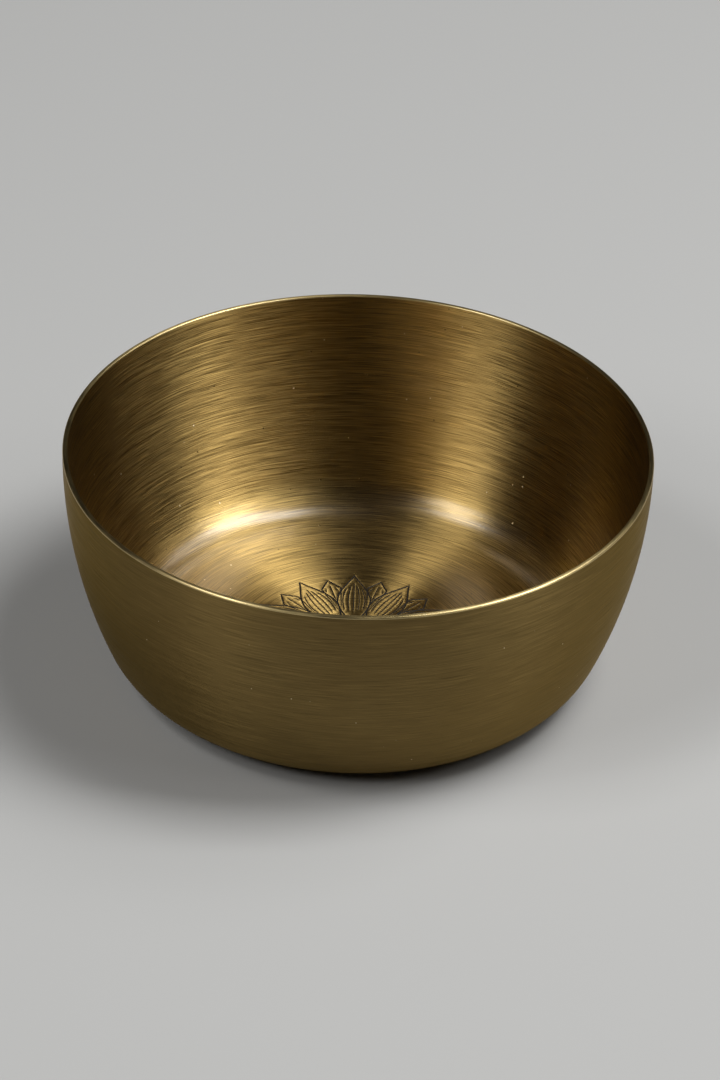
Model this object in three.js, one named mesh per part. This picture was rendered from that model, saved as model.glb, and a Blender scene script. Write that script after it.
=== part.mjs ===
// Katori: a small serving bowl for lentils, vegetables or yoghurt, spun over a former from one
// disc of brass sheet. Millimetres, +Z up, origin at the centre of the ring that it stands on.
import * as THREE from 'three';

// Driving dimensions of the bowl
const rimDiameter = 110;
const height = 45;
const baseDiameter = 0.67 * rimDiameter;
const cornerRadius = 0.65 * (rimDiameter - baseDiameter) / 2;

// The sheet keeps its gauge in the base and thins a little as the wall is drawn up to the rim
const sheetThickness = 1.0;
const rimThickness = 0.95;

// The spinner pushes the middle of the base up a little, so that the bowl stands on a flat ring
const standingRingWidth = 5;
const basePush = 0.4;

// The trimmed edge is dressed: well rounded outside, a little less inside, and flat between
const outerLipRadius = 0.4 * rimThickness;
const innerLipRadius = 0.3 * rimThickness;

// Fineness of the faceted surface
const facetsAround = 96;
const cornerSteps = 6;
const sideSteps = 7;
const lipSteps = 2;
const baseSteps = 3;

const baseRadius = baseDiameter / 2;
const rimRadius = rimDiameter / 2;

// Points of the profile are (distance from the axis, height)
function arc(centreR, centreZ, radius, startAngle, endAngle, steps) {
  const clockwise = endAngle < startAngle;
  return new THREE.EllipseCurve(centreR, centreZ, radius, radius, startAngle, endAngle, clockwise)
    .getPoints(steps);
}

// Pushed-up middle of the base, from the axis out to its flat ring
function pushedBase(ringZ) {
  const edgeRadius = baseRadius - standingRingWidth;
  const points = [];
  for (let step = 0; step <= baseSteps; step++) {
    const share = step / baseSteps;
    points.push(new THREE.Vector2(share * edgeRadius, ringZ + basePush * (1 - share ** 2)));
  }
  return points;
}

// One skin of the wall, from the flat ring to the foot of the lip. A corner arc leaves the ring
// level; a side arc carries on tangent to it and is upright where it ends. The side's radius is
// the one for which both hold, and the arcs meet on the line through their centres.
function wallSkin(ringZ, corner, topRadius, topZ) {
  const run = topRadius - baseRadius;
  const rise = topZ - ringZ;
  const sideRadius = (run ** 2 + rise ** 2 - 2 * rise * corner) / (2 * (run - corner));
  const sideCentreR = topRadius - sideRadius;
  const cornerCentreZ = ringZ + corner;
  const meetingAngle = Math.atan2(cornerCentreZ - topZ, baseRadius - sideCentreR);
  return [
    ...arc(baseRadius, cornerCentreZ, corner, -Math.PI / 2, meetingAngle, cornerSteps),
    ...arc(sideCentreR, topZ, sideRadius, meetingAngle, 0, sideSteps),
  ];
}

// Top of the trimmed sheet, from the outer skin over to the inner one
function lip() {
  const outerCentreR = rimRadius - outerLipRadius;
  const innerCentreR = rimRadius - rimThickness + innerLipRadius;
  return [
    ...arc(outerCentreR, height - outerLipRadius, outerLipRadius, 0, Math.PI / 2, lipSteps),
    ...arc(innerCentreR, height - innerLipRadius, innerLipRadius, Math.PI / 2, Math.PI, lipSteps),
  ];
}

function bowlProfile() {
  const insideCorner = cornerRadius - sheetThickness;
  const outside = wallSkin(0, cornerRadius, rimRadius, height - outerLipRadius);
  const inside = wallSkin(sheetThickness, insideCorner, rimRadius - rimThickness, height - innerLipRadius);
  const points = [
    ...pushedBase(0),
    ...outside,
    ...lip(),
    ...inside.reverse(),
    ...pushedBase(sheetThickness).reverse(),
  ];
  // Where two stretches join, the shared point is kept once
  const sameSpot = 1e-6;
  return points.filter((point, i) => i === 0 || point.distanceTo(points[i - 1]) > sameSpot);
}

// The lathe turns its profile about Y, so the shell is tipped up to stand on +Z
function makeBowl() {
  const shell = new THREE.LatheGeometry(bowlProfile(), facetsAround);
  shell.rotateX(Math.PI / 2);
  const satinBrass = new THREE.MeshStandardMaterial({ color: 0xb59c61, roughness: 0.36, metalness: 1 });
  const bowl = new THREE.Mesh(shell, satinBrass);
  bowl.name = 'bowl';
  return bowl;
}

const katori = new THREE.Group();
katori.add(makeBowl());

export default katori;
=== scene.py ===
import math

import bpy
import numpy as np
from mathutils import Matrix, Vector
from mathutils.geometry import delaunay_2d_cdt


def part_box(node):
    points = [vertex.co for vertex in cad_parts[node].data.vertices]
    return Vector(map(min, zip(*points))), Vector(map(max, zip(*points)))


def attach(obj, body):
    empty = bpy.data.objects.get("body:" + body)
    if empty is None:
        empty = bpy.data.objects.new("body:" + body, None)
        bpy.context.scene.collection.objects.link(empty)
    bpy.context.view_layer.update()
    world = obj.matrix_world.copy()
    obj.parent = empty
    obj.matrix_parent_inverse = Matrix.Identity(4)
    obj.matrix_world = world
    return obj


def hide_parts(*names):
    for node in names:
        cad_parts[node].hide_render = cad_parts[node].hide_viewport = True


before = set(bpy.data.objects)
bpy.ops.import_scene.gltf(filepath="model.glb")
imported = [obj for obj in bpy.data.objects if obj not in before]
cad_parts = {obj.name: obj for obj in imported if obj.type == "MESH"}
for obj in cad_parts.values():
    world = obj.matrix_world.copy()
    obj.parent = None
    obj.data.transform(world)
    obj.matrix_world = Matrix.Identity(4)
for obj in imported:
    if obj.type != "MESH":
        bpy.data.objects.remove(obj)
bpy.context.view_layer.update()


# Camera
# A long lens looks down into the bowl from in front, rolled a little, as the bowl was photographed.
# Its distance and aim give the bowl the size and place in the frame that it has there.
view_elevation = math.radians(35.49)
view_distance = 0.918
view_roll = math.radians(1.755)
aim_point = Vector((0.0008, 0.0, 0.0242))

camera_data = bpy.data.cameras.new("camera")
camera_data.lens = 160
camera_data.sensor_width = 36
camera = bpy.data.objects.new("camera", camera_data)
camera.location = Vector((0, -math.cos(view_elevation), math.sin(view_elevation))) * view_distance
looking = (aim_point - camera.location).to_track_quat("-Z", "Y").to_matrix()
camera.rotation_euler = (looking @ Matrix.Rotation(view_roll, 3, "Z")).to_euler()
bpy.context.collection.objects.link(camera)
bpy.context.scene.camera = camera


# Bowl shell
# One disc of brass sheet, spun over a former: full gauge in the base and round the corner, thinner
# as it is drawn up the side. The edge is trimmed and dressed, and the whole is brushed as it turns.
highest_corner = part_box("bowl")[1]
rim_radius = highest_corner[0]
rim_height = highest_corner[2]
base_radius = 0.67 * rim_radius
corner_radius = 0.65 * (rim_radius - base_radius)
sheet_gauge = 0.0010
rim_gauge = 0.00095
outer_lip_radius = 0.4 * rim_gauge
inner_lip_radius = 0.3 * rim_gauge
pushed_radius = base_radius - 0.005
base_push = 0.0004
engraved_disc_radius = 0.025
pole_radius = 0.002
around = 384
corner_steps, side_steps = 20, 30
outer_lip_steps, inner_lip_steps = 6, 5
underside_steps, floor_steps = 12, 4


def arc(centre_r, centre_z, radius, start, end, steps):
    """Profile points r = centre_r + radius cos a, z = centre_z + radius sin a, from start to end."""
    a = np.linspace(start, end, steps + 1)
    return np.column_stack([centre_r + radius * np.cos(a), centre_z + radius * np.sin(a)])


def pushed_height(ring_z, r):
    """Height of the pushed-up base: ring_z + base_push (1 - (r / pushed_radius)^2)."""
    return ring_z + base_push * (1 - (r / pushed_radius) ** 2)


def pushed_base(ring_z, from_r, to_r, steps):
    """Profile points over the pushed-up base between two radii."""
    r = np.linspace(from_r, to_r, steps + 1)
    return np.column_stack([r, pushed_height(ring_z, r)])


def wall_skin(ring_z, corner, top_radius, top_z):
    """A corner arc that leaves the ring level, then a side arc tangent to it that ends upright."""
    run = top_radius - base_radius
    rise = top_z - ring_z
    side = (run**2 + rise**2 - 2 * rise * corner) / (2 * (run - corner))
    side_centre = top_radius - side
    meeting = math.atan2(ring_z + corner - top_z, base_radius - side_centre)
    return np.vstack([
        arc(base_radius, ring_z + corner, corner, -math.pi / 2, meeting, corner_steps),
        arc(side_centre, top_z, side, meeting, 0, side_steps)[1:],
    ])


def turned(profile, phi):
    """Turns profile rows (r, z) about the axis: x = r cos phi, y = r sin phi, as one grid."""
    r, z = profile[:, :1], profile[:, 1:]
    return np.stack([r * np.cos(phi), r * np.sin(phi), z + 0 * phi], axis=-1).reshape(-1, 3)


# The profile runs over the underside, up the outside, over the lip and down the inside
inside_rim_radius = rim_radius - rim_gauge
outer_lip_z = rim_height - outer_lip_radius
inner_lip_z = rim_height - inner_lip_radius
outside_skin = np.vstack([
    pushed_base(0, pole_radius, pushed_radius, underside_steps),
    wall_skin(0, corner_radius, rim_radius, outer_lip_z),
])
lip = np.vstack([
    arc(rim_radius - outer_lip_radius, outer_lip_z, outer_lip_radius,
        0, math.pi / 2, outer_lip_steps)[1:],
    arc(inside_rim_radius + inner_lip_radius, inner_lip_z, inner_lip_radius,
        math.pi / 2, math.pi, inner_lip_steps),
])
inside_wall = wall_skin(sheet_gauge, corner_radius - sheet_gauge, inside_rim_radius, inner_lip_z)
inside_skin = np.vstack([
    inside_wall[-2::-1],
    pushed_base(sheet_gauge, pushed_radius, engraved_disc_radius, floor_steps),
])
profile = np.vstack([outside_skin, lip, inside_skin])
rows = len(profile)
phi = np.linspace(0, 2 * math.pi, around, endpoint=False)
shell_points = turned(profile, phi)
row, column = np.meshgrid(np.arange(rows - 1), np.arange(around), indexing="ij")
beside = (column + 1) % around
shell_quads = np.stack([
    row * around + column,
    row * around + beside,
    (row + 1) * around + beside,
    (row + 1) * around + column,
], axis=-1).reshape(-1, 4)
OUTSIDE, RIM, INSIDE, LINES = range(4)
row_finish = np.repeat([OUTSIDE, RIM, INSIDE], [len(outside_skin) - 1, len(lip), len(inside_skin)])
shell_finish = np.repeat(row_finish, around)

# A fan of triangles closes the underside round its middle
first_column = np.arange(around)
next_column = (first_column + 1) % around
under_pole = len(shell_points)
shell_points = np.vstack([shell_points, [0, 0, base_push]])
under_fan = np.column_stack([np.full(around, under_pole), next_column, first_column])


# Engraved lotus
# A traditional lotus of two rings of petals, cut by hand into the middle of the floor with a burin.
# Each line is a V-shaped groove that runs out to nothing at its ends, darkened with patina.
# The drawing is in millimetres, flat, and is laid on the floor at the end.
mm = 0.001
line_width = 0.34
run_out = 0.6
groove_slope = 0.7
burr_width = 0.16
burr_height = 0.03
tip_sharpness = 1.3
run_out_power = 0.6
edge_weight, vein_weight, spoke_weight = 1.0, 0.65, 0.7
later_start, sooner_end = 0.06, 0.16
edge_points, vein_points, arc_points, spoke_points = 40, 26, 20, 5
arc_overlap = math.radians(3)


def petal_half_width(share, widest):
    """Half width at this share of a petal's length: widest sin(pi share)^tip_sharpness."""
    return widest * np.sin(math.pi * np.clip(share, 0, 1)) ** tip_sharpness


def petal_line(petal, share, offset):
    """Points at these shares of a petal's length and offsets from its middle, turned to its angle."""
    angle, base, tip, widest = petal
    along = base + share * (tip - base)
    c, s = math.cos(angle), math.sin(angle)
    return np.column_stack([along * c - offset * s, along * s + offset * c])


def petal_edges(petal):
    """The petal's outline, cut deep."""
    share = np.linspace(0, 1, edge_points)
    half = petal_half_width(share, petal[3])
    return [(petal_line(petal, share, side * half), edge_weight) for side in (-1, 1)]


def petal_veins(petal, foot, tip, lines):
    """Fine lines at even parts of the petal's half width; the outer ones start later and end sooner.

    Over the petal's length, each runs from foot + later_start part to tip - sooner_end part.
    """
    strokes = []
    for k in range(-lines, lines + 1):
        part = k / (lines + 1)
        start = foot + later_start * abs(part)
        end = tip - sooner_end * abs(part)
        share = np.linspace(start, end, vein_points)
        offset = part * petal_half_width(share, petal[3])
        strokes.append((petal_line(petal, share, offset), vein_weight))
    return strokes


def in_petals(points, petals, margin):
    """True for points inside, or nearer than margin to, any of the petals."""
    inside = np.zeros(len(points), bool)
    for angle, base, tip, widest in petals:
        c, s = math.cos(angle), math.sin(angle)
        along = points[:, 0] * c + points[:, 1] * s
        offset = points[:, 1] * c - points[:, 0] * s
        share = (along - base) / (tip - base)
        reach = petal_half_width(share, widest) + margin
        inside |= (share > 0) & (share < 1) & (np.abs(offset) < reach)
    return inside


def ring_strokes(radius, arcs, weight):
    """A circle cut as several arcs that overlap a little at their ends."""
    strokes = []
    for part in range(arcs):
        start = 2 * math.pi * part / arcs
        end = start + 2 * math.pi / arcs
        a = np.linspace(start - arc_overlap, end + arc_overlap, arc_points)
        strokes.append((radius * np.column_stack([np.cos(a), np.sin(a)]), weight))
    return strokes


# A petal is its angle, the radii of its base and tip, and its widest half width
petal_count = 12
petal_turn = 2 * math.pi / petal_count
front_petals = [(k * petal_turn, 4.0, 21.5, 3.15) for k in range(petal_count)]
back_petals = [((k + 0.5) * petal_turn, 8.5, 20.2, 2.9) for k in range(petal_count)]
gap_behind = 0.25
fewest_points = 3
spoke_start, spoke_end = 1.6, 2.6
strokes = []
for radius, arcs, weight in ((3.7, 4, 1.0), (3.0, 4, 0.7), (1.2, 2, 0.9)):
    strokes += ring_strokes(radius, arcs, weight)
for petal in front_petals:
    strokes += petal_edges(petal) + petal_veins(petal, foot=0.28, tip=0.84, lines=2)
for petal in back_petals:
    for path, weight in petal_edges(petal) + petal_veins(petal, foot=0.40, tip=0.84, lines=1):
        showing = ~in_petals(path, front_petals, gap_behind)
        if showing.sum() >= fewest_points:
            strokes.append((path[showing], weight))
for k in range(petal_count):
    spoke = np.linspace(spoke_start, spoke_end, spoke_points)
    angle = (k + 0.5) * petal_turn
    spoke_path = np.column_stack([spoke * math.cos(angle), spoke * math.sin(angle)])
    strokes.append((spoke_path, spoke_weight))


def groove_outline(path, weight):
    """Half widths along a path: full in the middle, falling to nothing over run_out at each end."""
    step = np.linalg.norm(np.diff(path, axis=0), axis=1)
    run = np.concatenate([[0], np.cumsum(step)])
    from_end = np.minimum(run, run[-1] - run)
    fullness = np.clip(from_end / min(run_out, run[-1] / 2), 0, 1) ** run_out_power
    return line_width / 2 * weight * fullness


def sideways(path):
    """Unit vectors across the path, from the slope through each point's neighbours."""
    slope = np.gradient(path, axis=0)
    slope /= np.linalg.norm(slope, axis=1, keepdims=True)
    return np.column_stack([-slope[:, 1], slope[:, 0]])


# Each line gives a chain of points along its middle and one along each side, which share their ends
plan, plan_edges, segments, shoulders = [], [], [], []
ring = engraved_disc_radius / mm * np.column_stack([np.cos(phi), np.sin(phi)])
plan.append(ring)
plan_edges.append(np.column_stack([first_column, next_column]))
used = around
for path, weight in strokes:
    half = groove_outline(path, weight)
    across = sideways(path) * half[:, None]
    count = len(path)
    middle = np.arange(count) + used
    left = np.concatenate([middle[:1], used + count + np.arange(count - 2), middle[-1:]])
    right = np.concatenate([middle[:1], used + 2 * count - 2 + np.arange(count - 2), middle[-1:]])
    plan += [path, (path + across)[1:-1], (path - across)[1:-1]]
    for chain in (middle, left, right):
        plan_edges.append(np.column_stack([chain[:-1], chain[1:]]))
    segments.append(np.column_stack([path[:-1], path[1:], half[:-1], half[1:]]))
    reach = sideways(path) * (half + burr_width)[:, None]
    shoulders += [path + reach, path - reach]
    used += 3 * count - 4

# The lotus repeats, so the depth needs only the lines of its centre, its first petal and that gap
segments = np.vstack(segments)
centre_reach = 4.2
side_reach = math.radians(6)
middle_angle = np.arctan2(segments[:, 1] + segments[:, 3], segments[:, 0] + segments[:, 2])
near_centre = np.hypot(segments[:, 0], segments[:, 1]) < centre_reach
near_petal = np.abs(middle_angle - petal_turn / 2) < petal_turn / 2 + side_reach
segments = segments[near_centre | near_petal]
points_at_once = 4000


def groove_depth(points):
    """Depth at each point: groove_slope times how far it lies inside the nearest line's edge.

    It is less than 0 outside the lines. Each point is first turned to the first petal and its gap.
    """
    angle = np.arctan2(points[:, 1], points[:, 0]) % petal_turn
    r = np.hypot(points[:, 0], points[:, 1])
    turned_points = np.column_stack([r * np.cos(angle), r * np.sin(angle)])
    a, b = segments[:, 0:2], segments[:, 2:4]
    run = b - a
    length_squared = (run**2).sum(1)
    deepest = np.empty(len(points))
    for start in range(0, len(points), points_at_once):
        p = turned_points[start:start + points_at_once, None, :]
        t = np.clip(((p - a) * run).sum(2) / length_squared, 0, 1)
        gap = np.linalg.norm(p - a - t[..., None] * run, axis=2)
        half = segments[:, 4] + t * (segments[:, 5] - segments[:, 4])
        deepest[start:start + points_at_once] = (half - gap).max(1)
    return groove_slope * deepest


# Points between the lines carry the bowed floor, and points beside them carry the burrs
fill_spacing = 1.1
fill_margin = 0.5
fill_clearance = 0.2
shoulder_clearance = 0.7 * burr_width
merge_distance = 1e-4
fill = []
for r in np.arange(fill_spacing, engraved_disc_radius / mm - fill_margin, fill_spacing):
    a = np.linspace(0, 2 * math.pi, int(2 * math.pi * r / fill_spacing), endpoint=False)
    fill.append(r * np.column_stack([np.cos(a), np.sin(a)]))
fill = np.vstack(fill)
plan.append(fill[groove_depth(fill) < -fill_clearance * groove_slope])
shoulders = np.vstack(shoulders)
plan.append(shoulders[groove_depth(shoulders) < -shoulder_clearance * groove_slope])
plan = np.vstack(plan)
plan_edges = np.vstack(plan_edges)
plan_vectors = [Vector(p) for p in plan]
corners, _, triangles, from_plan, _, _ = delaunay_2d_cdt(
    plan_vectors, plan_edges.tolist(), [], 0, merge_distance)
disc_plan = np.array([(corner.x, corner.y) for corner in corners])
disc_faces = np.array(triangles)

least_depth = 0.004
depth = groove_depth(disc_plan)
in_groove = groove_depth(disc_plan[disc_faces].mean(1)) > least_depth
r = np.linalg.norm(disc_plan, axis=1)
burr = burr_height * np.clip(1 + depth / (groove_slope * burr_width), 0, 1)
relief = np.where(depth > 0, burr_height - depth, burr)
disc_points = np.column_stack([disc_plan, pushed_height(sheet_gauge, r * mm) / mm + relief]) * mm

# The disc's outer ring is the shell's last row, so the two become one closed mesh
last_row = (rows - 1) * around
source = np.array([min(old, default=around) for old in from_plan])
loose = source >= around
place = last_row + source
place[loose] = len(shell_points) + np.arange(loose.sum())
points = np.vstack([shell_points, disc_points[loose]])
disc_faces = place[disc_faces]

shell_mesh = bpy.data.meshes.new("bowl_shell")
faces = shell_quads.tolist() + under_fan.tolist() + disc_faces.tolist()
shell_mesh.from_pydata(points.tolist(), [], faces)
finish = np.concatenate([shell_finish, np.full(around, OUTSIDE), np.where(in_groove, LINES, INSIDE)])
shell_mesh.polygons.foreach_set("material_index", finish.astype(np.int32))
shell_mesh.polygons.foreach_set("use_smooth", finish != LINES)
groove_corners = np.repeat(finish == LINES, [len(f) for f in faces])
edge_of_corner = np.empty(len(shell_mesh.loops), np.int32)
shell_mesh.loops.foreach_get("edge_index", edge_of_corner)
sharp = np.zeros(len(shell_mesh.edges), bool)
sharp[edge_of_corner[groove_corners]] = True
shell_mesh.edges.foreach_set("use_edge_sharp", sharp)
shell_mesh.update()
shell = bpy.data.objects.new("bowl_shell", shell_mesh)
bpy.context.collection.objects.link(shell)


# Brushed brass
# Brass sheet, brushed with abrasive as the bowl turned on the lathe, so every mark runs round the
# axis. The outside's colour is darkened as painted shade, for the dark surroundings it reflects; the
# rim's colour is paler, partly a burnished edge and partly a painted highlight; and rim and inside
# keep a thin lacquer. Bright marks and pale nicks are painted glints in the colour. Use has left
# tarnish and small nicks, and has scuffed the foot and the floor.
def add_node(tree, kind, **settings):
    """A new node of this kind in the tree, with its settings."""
    node = tree.nodes.new(kind)
    for name, value in settings.items():
        setattr(node, name, value)
    return node


def feed(tree, socket, value):
    """Links the socket to a value that is a socket, and otherwise sets it."""
    if isinstance(value, bpy.types.NodeSocket):
        tree.links.new(value, socket)
    else:
        socket.default_value = value


def maths(tree, operation, first, second=0.0):
    """A Math node on two inputs, each a socket or a number."""
    node = add_node(tree, "ShaderNodeMath", operation=operation)
    feed(tree, node.inputs[0], first)
    feed(tree, node.inputs[1], second)
    return node.outputs[0]


def remap(tree, value, low, high, to_low, to_high):
    """Carries value from low..high to to_low..to_high and holds it there."""
    node = add_node(tree, "ShaderNodeMapRange")
    for socket, number in zip(node.inputs, (value, low, high, to_low, to_high)):
        feed(tree, socket, number)
    return node.outputs[0]


def mix_colour(tree, share, first, second):
    """Mixes two colours, each a socket or an (r, g, b)."""
    node = add_node(tree, "ShaderNodeMix", data_type="RGBA")
    feed(tree, node.inputs[0], share)
    for socket, colour in zip((node.inputs[6], node.inputs[7]), (first, second)):
        feed(tree, socket, colour if isinstance(colour, bpy.types.NodeSocket) else (*colour, 1))
    return node.outputs[2]


def new_group(name, inputs, outputs):
    """An empty shader group with these number inputs and outputs."""
    group = bpy.data.node_groups.new(name, "ShaderNodeTree")
    for title in inputs:
        group.interface.new_socket(title, in_out="INPUT", socket_type="NodeSocketFloat")
    for title in outputs:
        group.interface.new_socket(title, in_out="OUTPUT", socket_type="NodeSocketFloat")
    return group, add_node(group, "NodeGroupInput"), add_node(group, "NodeGroupOutput")


def use_group(tree, group, **values):
    """Places the group in a material with its own values, whose names have _ for a space."""
    node = add_node(tree, "ShaderNodeGroup", node_tree=group)
    for name, value in values.items():
        feed(tree, node.inputs[name.replace("_", " ")], value)
    return node


# Scales of the two broad noises, in features to the metre
waver_scale = 110
tarnish_scale = 38
tarnish_levels = (0.35, 0.70)

# Part of a nick that is at its full depth, and part of the nicks that show fresh metal, whose pale
# colour is also a painted glint
pit_floor = 0.5
fresh_glint_share = 0.5


def brush_marks_group():
    """Marks round the axis: noise stretched to Length in x and y, and to Width over radius + z.

    A second, broad noise shifts radius + z by up to half of Waver, so that no mark runs quite true.
    """
    group, entry, exit_ = new_group("brush_marks", ["Length", "Width", "Waver"], ["Marks"])
    place = add_node(group, "ShaderNodeTexCoord")
    split = add_node(group, "ShaderNodeSeparateXYZ")
    group.links.new(place.outputs["Object"], split.inputs[0])
    x, y, z = split.outputs
    squares = maths(group, "ADD", maths(group, "MULTIPLY", x, x), maths(group, "MULTIPLY", y, y))
    over_profile = maths(group, "ADD", maths(group, "SQRT", squares), z)
    drift = add_node(group, "ShaderNodeTexNoise")
    drift.inputs["Scale"].default_value = waver_scale
    drift.inputs["Detail"].default_value = 1
    group.links.new(place.outputs["Object"], drift.inputs["Vector"])
    centred = maths(group, "SUBTRACT", drift.outputs[0], 0.5)
    sway = maths(group, "MULTIPLY", centred, entry.outputs["Waver"])
    over_profile = maths(group, "ADD", over_profile, sway)
    join = add_node(group, "ShaderNodeCombineXYZ")
    group.links.new(maths(group, "DIVIDE", x, entry.outputs["Length"]), join.inputs[0])
    group.links.new(maths(group, "DIVIDE", y, entry.outputs["Length"]), join.inputs[1])
    group.links.new(maths(group, "DIVIDE", over_profile, entry.outputs["Width"]), join.inputs[2])
    noise = add_node(group, "ShaderNodeTexNoise")
    noise.inputs["Scale"].default_value = 1
    noise.inputs["Detail"].default_value = 1
    noise.inputs["Roughness"].default_value = 0.7
    group.links.new(join.outputs[0], noise.inputs["Vector"])
    group.links.new(noise.outputs[0], exit_.inputs["Marks"])
    return group


def use_wear_group():
    """Nicks: some Voronoi cells hold one small pit, dark or fresh; the fresh ones are painted pale as
    glints. Tarnish: broad soft noise.
    """
    group, entry, exit_ = new_group("use_wear", ["Spacing", "Nick Size", "Share"],
                                    ["Nicks", "Fresh Glint", "Tarnish"])
    place = add_node(group, "ShaderNodeTexCoord")
    cells = add_node(group, "ShaderNodeTexVoronoi")
    group.links.new(place.outputs["Object"], cells.inputs["Vector"])
    group.links.new(maths(group, "DIVIDE", 1.0, entry.outputs["Spacing"]), cells.inputs["Scale"])
    size = maths(group, "DIVIDE", entry.outputs["Nick Size"], entry.outputs["Spacing"])
    flat = maths(group, "MULTIPLY", size, pit_floor)
    pit = remap(group, cells.outputs["Distance"], flat, size, 1.0, 0.0)
    pick = add_node(group, "ShaderNodeSeparateColor")
    group.links.new(cells.outputs["Color"], pick.inputs[0])
    chosen = maths(group, "LESS_THAN", pick.outputs[0], entry.outputs["Share"])
    nicks = maths(group, "MULTIPLY", pit, chosen)
    group.links.new(nicks, exit_.inputs["Nicks"])
    fresh_glint = maths(group, "GREATER_THAN", pick.outputs[1], 1 - fresh_glint_share)
    group.links.new(maths(group, "MULTIPLY", nicks, fresh_glint), exit_.inputs["Fresh Glint"])
    cloud = add_node(group, "ShaderNodeTexNoise")
    cloud.inputs["Scale"].default_value = tarnish_scale
    cloud.inputs["Detail"].default_value = 3
    group.links.new(place.outputs["Object"], cloud.inputs["Vector"])
    tarnish = remap(group, cloud.outputs[0], *tarnish_levels, 0.0, 1.0)
    group.links.new(tarnish, exit_.inputs["Tarnish"])
    return group


brush_marks = brush_marks_group()
use_wear = use_wear_group()

# Levels of the noise at which a mark starts to show and shows in full, and its usual range
# The bright levels mark where painted glints are lightened into the colour
painted_glint_levels, dark_marks, usual_marks = (0.53, 0.64), (0.46, 0.36), (0.40, 0.60)
painted_gleam_levels, dark_dashes = (0.59, 0.66), (0.42, 0.34)

# Each kind of mark shifts the brass by this many times the material's contrast; the lightening shifts
# are painted glints
painted_glint_shift, groove_shift, scored_shift, painted_gleam_shift = 1, -1.2, -1.7, 2
fine_share = 0.9
dash_length, dash_width = 0.0080, 0.00014
fine_waver, coarse_waver, dash_waver = 0.0003, 0.0001, 0.0004
nick_spacing, nick_share, nick_strength = 0.0027, 0.45, 0.8
nick_colour = (0.07, 0.045, 0.02)
# Fresh nicks are bare metal, painted pale as glints
fresh_glint_colour = (0.95, 0.80, 0.50)
tarnish_tint, tarnish_strength = (0.80, 0.74, 0.66), 0.35
scuffed_below, fully_scuffed_below, scuffed_roughness = 0.0045, 0.0015, 0.20


def shade(colour, shift):
    """The colour made lighter or darker by this part of itself, held at 1."""
    return tuple(min(1.0, channel * (1 + shift)) for channel in colour)


def brass_material(name, colour, roughness, anisotropy, coat, fine, coarse, contrast, relief,
                   nick_size):
    """Brushed brass, in which fine and coarse marks shift the colour, the roughness and the relief.

    Dashes are single scratches, darker and brighter; the brighter dashes and bright marks are painted
    glints lightened into the colour. Wear adds tarnish, dark pits and fresh nicks, whose pale colour
    is also a painted glint, and the metal near the height of the table, which is the foot and the
    floor, is rougher.
    """
    brass = bpy.data.materials.new(name)
    brass.use_nodes = True
    tree = brass.node_tree
    shader = tree.nodes["Principled BSDF"]
    shader.inputs["Metallic"].default_value = 1
    shader.inputs["Anisotropic"].default_value = anisotropy
    shader.inputs["Anisotropic Rotation"].default_value = 0.25
    shader.inputs["Coat Weight"].default_value = coat
    shader.inputs["Coat Roughness"].default_value = 0.21
    shader.inputs["Specular Tint"].default_value = (0.85, 0.72, 0.48, 1)
    tangent = add_node(tree, "ShaderNodeTangent", direction_type="RADIAL", axis="Z")
    tree.links.new(tangent.outputs[0], shader.inputs["Tangent"])

    fine_marks = use_group(tree, brush_marks, Length=fine[0], Width=fine[1], Waver=fine_waver)
    coarse_marks = use_group(tree, brush_marks, Length=coarse[0], Width=coarse[1], Waver=coarse_waver)
    scratches = use_group(tree, brush_marks, Length=dash_length, Width=dash_width, Waver=dash_waver)
    wear = use_group(tree, use_wear, Spacing=nick_spacing, Nick_Size=nick_size, Share=nick_share)
    dashes = scratches.outputs["Marks"]
    marks = maths(tree, "ADD", maths(tree, "MULTIPLY", fine_marks.outputs["Marks"], fine_share),
                  maths(tree, "MULTIPLY", coarse_marks.outputs["Marks"], 1 - fine_share))

    painted_glint = remap(tree, marks, *painted_glint_levels, 0.0, 1.0)
    groove = remap(tree, marks, *dark_marks, 0.0, 1.0)
    scored = remap(tree, dashes, *dark_dashes, 0.0, 1.0)
    painted_gleam = remap(tree, dashes, *painted_gleam_levels, 0.0, 1.0)
    tarnished = maths(tree, "MULTIPLY", wear.outputs["Tarnish"], tarnish_strength)
    nicked = maths(tree, "MULTIPLY", wear.outputs["Nicks"], nick_strength)
    # Bright marks and dashes lighten the colour as painted glints; dark ones darken it
    body = mix_colour(tree, painted_glint, colour, shade(colour, painted_glint_shift * contrast))
    body = mix_colour(tree, groove, body, shade(colour, groove_shift * contrast))
    body = mix_colour(tree, scored, body, shade(colour, scored_shift * contrast))
    body = mix_colour(tree, painted_gleam, body, shade(colour, painted_gleam_shift * contrast))
    body = mix_colour(tree, tarnished, body, tuple(np.multiply(colour, tarnish_tint).tolist()))
    body = mix_colour(tree, nicked, body, nick_colour)
    # Pale fresh nicks: bare metal and a painted glint
    body = mix_colour(tree, wear.outputs["Fresh Glint"], body, fresh_glint_colour)
    tree.links.new(body, shader.inputs["Base Color"])

    place = add_node(tree, "ShaderNodeTexCoord")
    split = add_node(tree, "ShaderNodeSeparateXYZ")
    tree.links.new(place.outputs["Object"], split.inputs[0])
    scuffed = remap(tree, split.outputs["Z"], scuffed_below, fully_scuffed_below,
                    0.0, scuffed_roughness)
    rough = remap(tree, marks, *usual_marks, *roughness)
    tree.links.new(maths(tree, "ADD", rough, scuffed), shader.inputs["Roughness"])

    height = maths(tree, "SUBTRACT", marks, wear.outputs["Nicks"])
    bump = add_node(tree, "ShaderNodeBump")
    bump.inputs["Strength"].default_value = 1
    bump.inputs["Distance"].default_value = relief
    tree.links.new(height, bump.inputs["Height"])
    tree.links.new(bump.outputs[0], shader.inputs["Normal"])
    return brass


# Its colour is darkened as painted shade for the dark surroundings that the outside reflects
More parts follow.
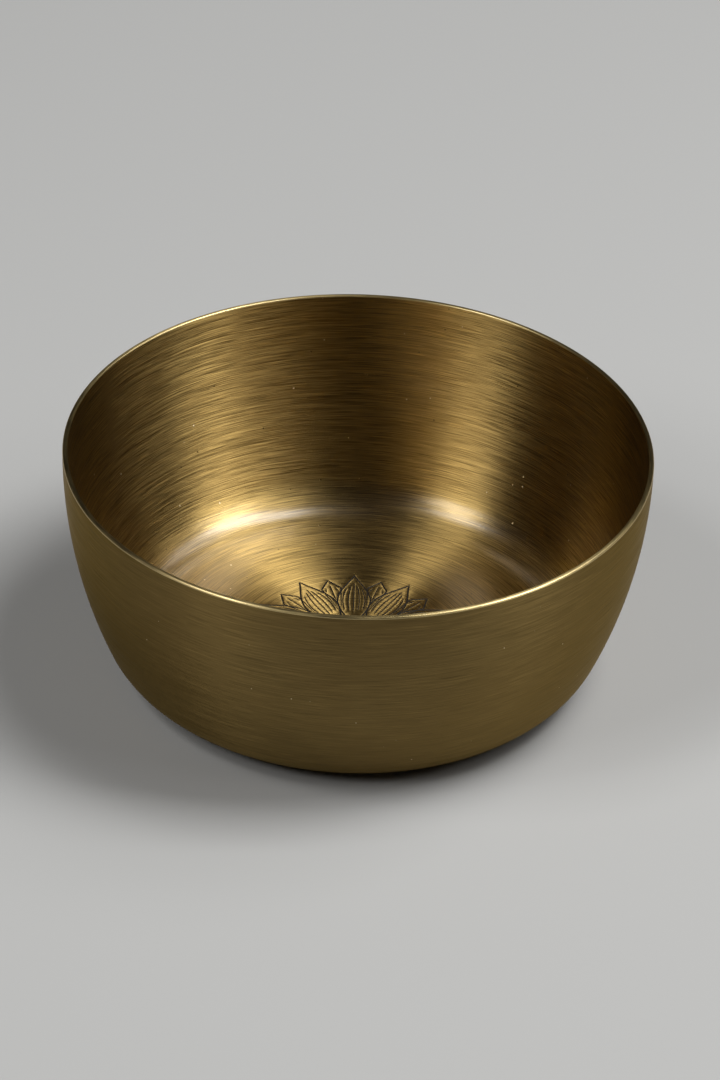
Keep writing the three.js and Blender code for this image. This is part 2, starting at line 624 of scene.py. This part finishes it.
outside_brass_with_painted_shade = brass_material(
    "outside_brass_with_painted_shade", colour=(0.205, 0.139, 0.049), roughness=(0.34, 0.44), anisotropy=0.9, coat=0.05,
    fine=(0.012, 0.00030), coarse=(0.036, 0.0012), contrast=0.16, relief=0.000020, nick_size=0.00014)
# Its paler colour is partly a burnished edge and partly a painted highlight
rim_brass_with_painted_highlight = brass_material(
    "rim_brass_with_painted_highlight", colour=(0.66, 0.51, 0.23), roughness=(0.37, 0.45), anisotropy=0.75, coat=0.9,
    fine=(0.004, 0.0003), coarse=(0.020, 0.0008), contrast=0.1, relief=0.000004, nick_size=0.00010)
inside_brass = brass_material(
    "inside_brass", colour=(0.40, 0.278, 0.097), roughness=(0.30, 0.42), anisotropy=1.0, coat=1.0,
    fine=(0.0120, 0.00015), coarse=(0.026, 0.00034), contrast=0.36, relief=0.00003, nick_size=0.00022)

# Dark patina is rubbed into the engraved lines and wiped off the floor round them
patina_colour = (0.007, 0.005, 0.003)
worn_patina_colour = (0.020, 0.013, 0.006)
engraved_lines = bpy.data.materials.new("engraved_lines")
engraved_lines.use_nodes = True
patina_tree = engraved_lines.node_tree
patina_shader = patina_tree.nodes["Principled BSDF"]
patina_shader.inputs["Metallic"].default_value = 0
patina_shader.inputs["Roughness"].default_value = 0.7
patina_shader.inputs["Specular IOR Level"].default_value = 0.3
patina_wear = use_group(patina_tree, use_wear, Spacing=0.002, Nick_Size=0.0002, Share=0.2)
patina = mix_colour(patina_tree, patina_wear.outputs["Tarnish"], patina_colour, worn_patina_colour)
patina_tree.links.new(patina, patina_shader.inputs["Base Color"])

for material in (outside_brass_with_painted_shade, rim_brass_with_painted_highlight, inside_brass, engraved_lines):
    shell_mesh.materials.append(material)

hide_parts("bowl")
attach(shell, "root")


# Table and light
# A sheet of pale matt paper lies a hair under the standing ring. Soft boxes on the left and right of
# the bowl light its inside, as in the photograph, and the room itself adds very little.
table_half = 2.0
table_z = -0.00005
paper_colour = (0.52, 0.52, 0.51)
bpy.context.scene.view_settings.view_transform = "Standard"
table_mesh = bpy.data.meshes.new("table")
table_corners = [(-table_half, -table_half, table_z), (table_half, -table_half, table_z),
                 (table_half, table_half, table_z), (-table_half, table_half, table_z)]
table_mesh.from_pydata(table_corners, [], [(0, 1, 2, 3)])
table = bpy.data.objects.new("table", table_mesh)
bpy.context.collection.objects.link(table)
paper = bpy.data.materials.new("pale_paper")
paper.use_nodes = True
paper_shader = paper.node_tree.nodes["Principled BSDF"]
paper_shader.inputs["Base Color"].default_value = (*paper_colour, 1)
paper_shader.inputs["Roughness"].default_value = 0.8
table_mesh.materials.append(paper)


lamp_distance = 1.3


def softbox(name, azimuth, elevation, width, height, radiance):
    """A rectangular lamp on a sphere about the bowl, facing it; watts = radiance pi width height."""
    lamp = bpy.data.lights.new(name, "AREA")
    lamp.shape = "RECTANGLE"
    lamp.size = width
    lamp.size_y = height
    lamp.energy = radiance * math.pi * width * height
    box = bpy.data.objects.new(name, lamp)
    a, e = math.radians(azimuth), math.radians(elevation)
    place = Vector((math.cos(e) * math.cos(a), math.cos(e) * math.sin(a), math.sin(e)))
    box.location = lamp_distance * place
    box.rotation_euler = (-place).to_track_quat("-Z", "Y").to_euler()
    bpy.context.collection.objects.link(box)


softbox("key_box", azimuth=0, elevation=57, width=0.44, height=0.32, radiance=15.0)
softbox("key_top", azimuth=5, elevation=71, width=0.37, height=0.32, radiance=11.5)
softbox("key_side", azimuth=343, elevation=42, width=0.50, height=0.36, radiance=2.8)
softbox("back_box", azimuth=32, elevation=52, width=0.42, height=0.45, radiance=3.2)
softbox("left_box", azimuth=200, elevation=57, width=0.37, height=0.32, radiance=7.9)
softbox("left_side", azimuth=216, elevation=42, width=0.44, height=0.36, radiance=6.2)

world = bpy.data.worlds.new("studio")
bpy.context.scene.world = world
world.use_nodes = True
world.node_tree.nodes["Background"].inputs["Color"].default_value = (1, 1, 1, 1)
world.node_tree.nodes["Background"].inputs["Strength"].default_value = 0.012
